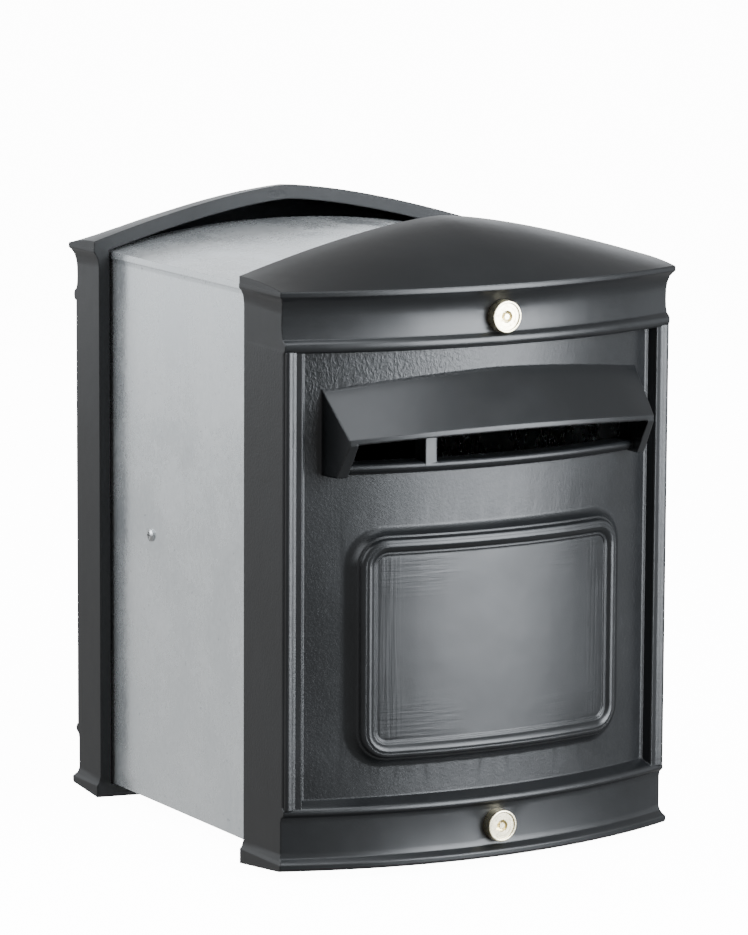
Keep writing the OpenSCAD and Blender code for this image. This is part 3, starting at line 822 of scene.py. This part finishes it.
@dataclass
class Border:
    """Raised beads and foot fillets beside the front casting's panel.

    Points across a strip are (inset, height): arc length inwards from the casting's
    upright edge, and height above its bowed face, in mm.
    """

    palette: Palette
    half_w: float = 156.0
    bow: float = 32.0
    depth: float = 57.0
    sink: float = 9.0
    wall_inset: float = 13.8
    foot_r: float = 2.3
    foot_steps: int = 8
    sharp_deg: float = 34.0
    z_range: Pair = (49.5, 370.0)
    bead: tuple[Pair, ...] = (
        (1.0, -1.5), (1.1, 0.5), (1.5, 1.5), (2.2, 2.2), (3.2, 2.5), (4.3, 2.3),
        (5.5, 1.75), (6.6, 1.05), (7.5, 0.35), (8.2, 0.08), (9.4, -0.1), (9.4, -1.5),
    )

    def foot(self) -> list[Pair]:
        """Points of (inset, height) of the fillet where the pocket's wall meets the panel."""
        s, h, r = self.wall_inset, -self.sink, self.foot_r
        points = [(s - 0.5, h - 1.0), (s - 0.15, h + r)]
        for k in range(1, self.foot_steps):
            a = math.radians(90 * k / self.foot_steps)
            points.append((s + r - r * math.cos(a), h + r - r * math.sin(a)))
        return [*points, (s + r, h - 0.12), (s + r, h - 1.0)]

    def fill(self, bm: bmesh.types.BMesh) -> None:
        """Adds both strips of both sides to a mesh."""
        radius = (self.half_w**2 + self.bow**2) / (2 * self.bow)
        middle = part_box("front_cover")[1][1] / MM - self.depth - self.bow + radius
        edge = math.asin(self.half_w / radius)
        for profile in (self.bead, self.foot()):
            for sign in (-1.0, 1.0):
                rings = []
                for z in self.z_range:
                    ring = []
                    for inset, height in profile:
                        a, r = edge - inset / radius, radius + height
                        point = Vector((sign * r * math.sin(a), middle - r * math.cos(a), z))
                        ring.append(bm.verts.new(point * MM))
                    rings.append(ring)
                    bm.faces.new(ring)
                for k, low in enumerate(rings[0]):
                    n = (k + 1) % len(profile)
                    bm.faces.new([low, rings[0][n], rings[1][n], rings[1][k]])

    def build(self) -> bpy.types.Object:
        """Makes the strips as one painted piece that rides on the front casting."""
        piece = new_piece("front_border_beads", self.palette.cast, self.sharp_deg, self.fill)
        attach(piece, "front_casting")
        report(piece)
        return piece


@dataclass
class Lock:
    """One brass cam lock; its places and main sizes come from the CAD nodes.

    The other sizes are in mm, and depths are counted from the lock's outermost edge.
    """

    side: Side
    level: Level
    palette: Palette
    sharp_deg: float = 32.0
    ring_width: float = 1.8
    disc_depth: float = 1.1
    edge: float = 0.7
    inner_edge: float = 0.35
    seat_depth: float = 8.4
    thread_r: float = 9.5
    recess_depth: float = 3.5
    bore_r: float = 6.05
    stem_r: float = 5.9
    stem_depth: float = 29.2
    square_half: float = 3.5
    clear: float = 0.1
    key_outer: float = 4.1
    key_inner: float = 2.3
    key_depth: float = 5.0
    notch_size: Triple = (3.0, 2.0, 4.0)
    notch_depth: float = 3.0
    notch_turn: float = math.radians(25.0)

    def __post_init__(self) -> None:
        """Reads the lock's place from its barrel."""
        self.casting = f"{self.side.name.lower()}_casting"
        self.word = f"{self.side.name.lower()}_{self.level.value}"
        low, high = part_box(f"{self.word}_barrel")
        self.face_r = (high[0] - low[0]) / 2 / MM
        self.length = (high[1] - low[1]) / MM
        front = self.side is Side.FRONT
        self.face_y = low[1] if front else high[1]
        self.centre_z = (low[2] + high[2]) / 2
        plug_low, plug_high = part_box(f"{self.word}_plug")
        self.plug_r = (plug_high[0] - plug_low[0]) / 2 / MM
        self.plug_back = abs((plug_high[1] if front else plug_low[1]) - self.face_y) / MM

    def place(self) -> Matrix:
        """Matrix with Z out of the casting and nought at the lock's outermost edge."""
        turn = Euler((math.radians(90), 0, 0)).to_matrix().to_4x4()
        if self.side is Side.REAR:
            turn = Matrix.Rotation(math.pi, 4, "Z") @ turn
        return Matrix.Translation((0, self.face_y, self.centre_z)) @ turn

    @staticmethod
    def quarter(steps: int) -> list[Pair]:
        """Cosine and sine of equal steps from 0 to 90 degrees."""
        angles = [math.radians(90 * k / steps) for k in range(steps + 1)]
        return [(math.cos(a), math.sin(a)) for a in angles]

    def barrel(self) -> bpy.types.Object:
        """The threaded barrel with its rounded outer ring."""
        r, e, i = self.face_r, self.edge, self.inner_edge
        inner = r - self.ring_width
        bore = self.plug_r + self.clear / 2
        profile = [(self.thread_r, -self.length), (self.thread_r, -self.seat_depth)]
        profile += [(r, -self.seat_depth), (r, -e - 1.0)]
        profile += [(r - e + e * c, -e + e * s) for c, s in self.quarter(4)]
        profile += [(inner + i - i * s, -i + i * c) for c, s in self.quarter(3)]
        profile += [(inner - 0.15, -self.disc_depth), (bore, -self.disc_depth)]
        profile += [(bore, -self.recess_depth), (self.bore_r, -self.recess_depth)]
        profile += [(self.bore_r, -self.length)]
        fill = partial(Turned(profile).fill, place=self.place())
        return new_piece(f"{self.word}_barrel_body", self.palette.brass, self.sharp_deg, fill)

    def plug_fill(self, bm: bmesh.types.BMesh) -> None:
        """Adds the plug with its ring keyway, and the square end behind it, to a mesh."""
        place = self.place()
        top = -self.disc_depth - self.clear
        floor, shoulder = top - self.key_depth, -self.recess_depth + self.clear
        r, stem, back = self.plug_r, self.stem_r, -self.stem_depth
        outer, inner, i = self.key_outer, self.key_inner, self.inner_edge
        profile = [(0, back), (stem, back), (stem, shoulder), (r, shoulder)]
        profile += [(r, top - 0.1), (r - 0.1, top), (outer + 0.25, top), (outer, top - 0.25)]
        profile += [(outer, floor), (inner, floor), (inner, top - i), (inner - i, top), (0, top)]
        Turned(profile).fill(bm, place)
        half = self.square_half
        points = [(half, half), (-half, half), (-half, -half), (half, -half)]
        rings = [
            [bm.verts.new(place @ (Vector((a, b, h)) * MM)) for a, b in points]
            for h in (-self.plug_back, back)
        ]
        for ring in rings:
            bm.faces.new(ring)
        for k in range(4):
            n = (k + 1) % 4
            bm.faces.new([rings[0][k], rings[0][n], rings[1][n], rings[1][k]])

    def plug(self) -> bpy.types.Object:
        """The rotating plug with its ring keyway and notch."""
        name = f"{self.word}_plug_body"
        body = new_piece(name, self.palette.brass, self.sharp_deg, self.plug_fill)
        length, width, height = self.notch_size
        floor = -self.disc_depth - self.clear - self.notch_depth
        turned = self.place() @ Matrix.Rotation(self.notch_turn, 4, "Z")
        corners = []
        for a, b, c in product((0.0, 1.0), repeat=3):
            corner = (-self.key_inner - length * a, width * (b - 0.5), floor + height * c)
            corners.append(turned @ (Vector(corner) * MM))
        return cut(body, corners, self.sharp_deg)

    def build(self) -> None:
        """Makes both turned pieces and dresses the lock's other nodes."""
        for piece, node, body in (
            (self.barrel(), "barrel", self.casting),
            (self.plug(), "plug", f"{self.word}_lock"),
        ):
            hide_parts(f"{self.word}_{node}")
            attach(piece, body)
            report(piece)
        for node, finish in (
            ("nut", self.palette.brass),
            ("cam", self.palette.zinc),
            ("cam_screw", self.palette.zinc),
        ):
            dress(f"{self.word}_{node}", finish)


def dress(node: str, finish: bpy.types.Material) -> None:
    """Gives a CAD node a finish; its mesh stays as it is.

    Args:
        node: name of the node.
        finish: the material.
    """
    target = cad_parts[node]
    for slot in target.material_slots:
        slot.material = finish
    LOG.info("%s: dressed in %s", node, finish.name)


@dataclass
class Rivets:
    """Blind rivets through both sides of a sleeve, placed by Geometry Nodes."""

    node: str
    body: str
    palette: Palette
    head_r: float = 3.4
    head_h: float = 1.1
    shank_r: float = 2.0
    shank_length: float = 5.4
    segments: int = 24

    def spots(self) -> list[tuple[Vector, float]]:
        """Each rivet's centre and the sign of X that it faces, from the CAD node's solids."""
        low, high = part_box(self.node)
        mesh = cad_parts[self.node].data
        zs = sorted({round(v.co.z / MM) for v in mesh.vertices})
        groups: list[list[int]] = []
        for z in zs:
            if groups and z - groups[-1][-1] <= 1:
                groups[-1].append(z)
            else:
                groups.append([z])
        centre_y = (low[1] + high[1]) / 2
        found = []
        for group in groups:
            ends = (group[0] + self.head_r, group[-1] - self.head_r)
            for z in sorted({round(e, 1) for e in ends}):
                for sign in (-1.0, 1.0):
                    edge = (high[0] if sign > 0 else low[0]) - sign * self.head_h * MM
                    found.append((Vector((edge, centre_y, z * MM)), sign))
        return found

    def tree(self) -> bpy.types.NodeTree:
        """The node tree: a domed head and a shank on every point."""
        tree = bpy.data.node_groups.new("rivets_on_sheet", "GeometryNodeTree")
        sizes = ("Head radius", "Head height", "Shank radius", "Shank length")
        inputs = {"Geometry": "Geometry", **dict.fromkeys(sizes, "Float"), "Finish": "Material"}
        for name, kind in inputs.items():
            tree.interface.new_socket(name, in_out="INPUT", socket_type=f"NodeSocket{kind}")
        tree.interface.new_socket("Geometry", in_out="OUTPUT", socket_type="NodeSocketGeometry")
        kinds = {
            "start": "NodeGroupInput",
            "dome": "GeometryNodeMeshUVSphere",
            "size": "ShaderNodeCombineXYZ",
            "squash": "GeometryNodeTransform",
            "shank": "GeometryNodeMeshCylinder",
            "half": "ShaderNodeMath",
            "shift": "ShaderNodeCombineXYZ",
            "lay": "GeometryNodeTransform",
            "both": "GeometryNodeJoinGeometry",
            "turn": "GeometryNodeInputNamedAttribute",
            "angle": "ShaderNodeCombineXYZ",
            "spread": "GeometryNodeInstanceOnPoints",
            "real": "GeometryNodeRealizeInstances",
            "paint": "GeometryNodeSetMaterial",
            "end": "NodeGroupOutput",
        }
        made = {name: tree.nodes.new(kind) for name, kind in kinds.items()}
        made["half"].operation = "MULTIPLY"
        made["turn"].data_type = "FLOAT"
        for name, socket, value in (
            ("dome", "Segments", self.segments),
            ("dome", "Rings", self.segments // 2),
            ("dome", "Radius", 1.0),
            ("shank", "Vertices", self.segments),
            ("half", 1, -0.5),
            ("lay", "Rotation", (0, math.pi / 2, 0)),
            ("turn", "Name", "turn"),
        ):
            made[name].inputs[socket].default_value = value
        for name, output, target, socket in (
            ("start", "Head height", "size", "X"),
            ("start", "Head radius", "size", "Y"),
            ("start", "Head radius", "size", "Z"),
            ("dome", "Mesh", "squash", "Geometry"),
            ("size", 0, "squash", "Scale"),
            ("start", "Shank radius", "shank", "Radius"),
            ("start", "Shank length", "shank", "Depth"),
            ("start", "Shank length", "half", 0),
            ("half", 0, "shift", "X"),
            ("shift", 0, "lay", "Translation"),
            ("shank", "Mesh", "lay", "Geometry"),
            ("squash", 0, "both", 0),
            ("lay", 0, "both", 0),
            ("turn", "Attribute", "angle", "Z"),
            ("start", "Geometry", "spread", "Points"),
            ("both", 0, "spread", "Instance"),
            ("angle", 0, "spread", "Rotation"),
            ("spread", 0, "real", 0),
            ("real", 0, "paint", "Geometry"),
            ("start", "Finish", "paint", "Material"),
            ("paint", 0, "end", 0),
        ):
            tree.links.new(made[name].outputs[output], made[target].inputs[socket])
        return tree

    def build(self) -> bpy.types.Object:
        """Makes the rivets as one plain mesh that stands for the CAD node."""
        spots = self.spots()
        points = bpy.data.meshes.new("rivet_points")
        points.from_pydata([tuple(p) for p, _ in spots], [], [])
        turn = points.attributes.new("turn", "FLOAT", "POINT")
        turn.data.foreach_set("value", [0.0 if s > 0 else math.pi for _, s in spots])
        carrier = placed("rivet_carrier", points)
        tree = self.tree()
        sizes = {
            "Head radius": self.head_r * MM,
            "Head height": self.head_h * MM,
            "Shank radius": self.shank_r * MM,
            "Shank length": self.shank_length * MM,
            "Finish": self.palette.alloy,
        }
        piece = grown(carrier, tree, sizes, f"{self.node}_heads", self.palette.alloy)
        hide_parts(self.node)
        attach(piece, self.body)
        report(piece)
        return piece


def grown(
    carrier: bpy.types.Object,
    tree: bpy.types.NodeTree,
    values: dict[str, Any],
    name: str,
    material: bpy.types.Material,
) -> bpy.types.Object:
    """Runs a Geometry Nodes tree on a carrier and keeps the result as a plain mesh.

    Args:
        carrier: the object that holds the points; it is removed.
        tree: the node tree.
        values: the tree's named inputs.
        name: name of the finished piece.
        material: its finish.

    Returns:
        The plain piece.
    """
    modifier = carrier.modifiers.new("grow", "NODES")
    modifier.node_group = tree
    for item in tree.interface.items_tree:
        if item.item_type == "SOCKET" and item.in_out == "INPUT" and item.name in values:
            modifier[item.identifier] = values[item.name]
    graph = bpy.context.evaluated_depsgraph_get()
    mesh = bpy.data.meshes.new_from_object(carrier.evaluated_get(graph), depsgraph=graph)
    carrier.modifiers.clear()
    bpy.data.objects.remove(carrier)
    mesh.name = name
    shade(mesh, RIVET_SHARP_DEG)
    return link(mesh, name, material)


@dataclass
class Sleeve:
    """The telescopic sleeve with its lids, strips and clamp screws."""

    palette: Palette
    sheets: tuple[str, ...] = ("outer_sleeve", "outer_lid", "inner_sleeve", "inner_lid")
    strips: tuple[str, ...] = tuple(
        f"{side}_keeper_{end}" for side, end in product(("front", "rear"), ("top", "bottom"))
    )
    fixings: tuple[str, ...] = ("clamp_screws", "clamp_nut_left", "clamp_nut_right")

    def build(self) -> None:
        """Dresses the sleeve's nodes and makes its rivets."""
        for node in self.sheets:
            dress(node, self.palette.sheet)
        for node in (*self.strips, *self.fixings):
            dress(node, self.palette.zinc)
        Rivets("front_rivets", "sleeve", self.palette).build()
        Rivets("rear_rivets", "inner", self.palette).build()


# ---- studio


@dataclass(frozen=True)
class Viewpoint:
    """The photograph's camera, fitted to the box's edges."""

    azimuth_deg: float = -29.833
    elevation_deg: float = 9.385
    roll_deg: float = 0.303
    focal_px: float = 5098.1
    distance: float = 3.623
    aside: float = -0.04478
    above: float = 0.04937
    target_height: float = 0.220
    clip: Pair = (0.1, 50.0)

    def build(self, rim_y: float) -> bpy.types.Object:
        """Makes the camera.

        Args:
            rim_y: Y of the front casting's rim, which the fit is measured from.

        Returns:
            The camera object.
        """
        a, e = math.radians(self.azimuth_deg), math.radians(self.elevation_deg)
        look = Vector((-math.sin(a) * math.cos(e), math.cos(a) * math.cos(e), -math.sin(e)))
        right = look.cross(Vector((0, 0, 1))).normalized()
        up = right.cross(look)
        roll = math.radians(self.roll_deg)
        side = right * math.cos(roll) + up * math.sin(roll)
        top = up * math.cos(roll) - right * math.sin(roll)
        target = Vector((0, rim_y, self.target_height))
        spot = target - look * self.distance + side * self.aside + top * self.above
        data = bpy.data.cameras.new("photo_camera")
        data.sensor_width = SENSOR_MM
        data.lens = self.focal_px * SENSOR_MM / PHOTO_LONG_SIDE
        data.clip_start, data.clip_end = self.clip
        camera = placed("photo_camera", data)
        turn = Matrix((side, top, -look)).transposed().to_4x4()
        camera.matrix_world = Matrix.Translation(spot) @ turn
        bpy.context.scene.camera = camera
        return camera


@dataclass(frozen=True)
class Softbox:
    """One rectangular studio light, placed by its direction from the box."""

    name: str
    azimuth_deg: float
    elevation_deg: float
    distance: float
    size: Pair
    radiance: float
    aim_height: float = 0.25
    tint: Triple = (0.94, 0.99, 1.05)

    def build(self) -> bpy.types.Object:
        """Makes the light; azimuth 0 is in front of the slot and 90 at its right."""
        data = bpy.data.lights.new(self.name, "AREA")
        data.shape = "RECTANGLE"
        data.size, data.size_y = self.size
        data.energy = self.radiance * math.pi * self.size[0] * self.size[1]
        data.color = self.tint
        a, e = math.radians(self.azimuth_deg), math.radians(self.elevation_deg)
        out = Vector((math.sin(a) * math.cos(e), -math.cos(a) * math.cos(e), math.sin(e)))
        lamp = placed(self.name, data)
        lamp.location = Vector((0, 0, self.aim_height)) + out * self.distance
        lamp.rotation_euler = (-out).to_track_quat("-Z", "Y").to_euler()
        return lamp


@dataclass(frozen=True)
class Sky:
    """The surroundings: plain white behind the box, soft grey in its gloss."""

    white: float = 16.0
    low: float = 0.34
    zenith: float = 0.08
    behind: float = 0.22

    def build(self) -> bpy.types.World:
        """Makes the world's nodes."""
        world = bpy.data.worlds.new("studio_sky")
        world.use_nodes = True
        tree = world.node_tree
        tree.nodes.clear()
        add, join = tree.nodes.new, tree.links.new
        place, split = add("ShaderNodeTexCoord"), add("ShaderNodeSeparateXYZ")
        join(place.outputs["Generated"], split.inputs[0])
        total = None
        for axis, gain in (("Z", self.zenith), ("Y", self.behind)):
            step = add("ShaderNodeMapRange")
            step.interpolation_type = "SMOOTHSTEP"
            step.inputs["To Min"].default_value = 0.0
            step.inputs["To Max"].default_value = gain
            join(split.outputs[axis], step.inputs["Value"])
            plus = add("ShaderNodeMath")
            plus.inputs[1].default_value = self.low
            join(step.outputs[0], plus.inputs[0])
            if total is not None:
                join(total, plus.inputs[1])
            total = plus.outputs[0]
        path, mix = add("ShaderNodeLightPath"), add("ShaderNodeMix")
        join(path.outputs["Is Camera Ray"], mix.inputs["Factor"])
        join(total, mix.inputs["A"])
        mix.inputs["B"].default_value = self.white
        light, end = add("ShaderNodeBackground"), add("ShaderNodeOutputWorld")
        light.inputs["Color"].default_value = (1, 1, 1, 1)
        join(mix.outputs["Result"], light.inputs["Strength"])
        join(light.outputs[0], end.inputs["Surface"])
        bpy.context.scene.world = world
        return world


@dataclass
class Studio:
    """Floor, sky and lights."""

    palette: Palette
    half: float = 16.0
    sky: Sky = Sky()
    lights: tuple[Softbox, ...] = (
        Softbox("band", 24.5, 0.0, 2.2, (1.3, 2.2), 17.5, 0.87),
        Softbox("top", -8.0, 64.0, 2.2, (1.0, 1.0), 5.6),
        Softbox("left", -104.0, 28.0, 1.8, (1.5, 1.5), 5.0),
        Softbox("right", 76.0, 5.0, 2.4, (0.9, 1.6), 0.8),
        Softbox("rear_left", -150.0, 0.0, 2.2, (1.8, 1.5), 0.64, 0.78),
        Softbox("rear_right", 150.0, 12.0, 2.4, (1.6, 1.1), 1.15),
    )

    def build(self) -> None:
        """Makes the floor, the surroundings and the softboxes."""
        h = self.half
        mesh = bpy.data.meshes.new("floor")
        mesh.from_pydata([(-h, -h, 0), (h, -h, 0), (h, h, 0), (-h, h, 0)], [], [(0, 1, 2, 3)])
        floor = link(mesh, "floor", self.palette.floor)
        floor.visible_diffuse = floor.visible_glossy = floor.visible_shadow = False
        self.sky.build()
        for lamp in self.lights:
            lamp.build()


def main() -> None:
    """Builds the studio and the post box, sub-assembly by sub-assembly."""
    logging.basicConfig(level=logging.INFO, format="%(message)s")
    palette = Palette()
    rim_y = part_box("front_cover")[1][1]
    Viewpoint().build(rim_y)
    Studio(palette).build()
    for side in Side:
        Casting(side, palette).build()
        for level in Level:
            Lock(side, level, palette).build()
    Border(palette).build()
    Sleeve(palette).build()


if __name__ == "__main__":
    main()
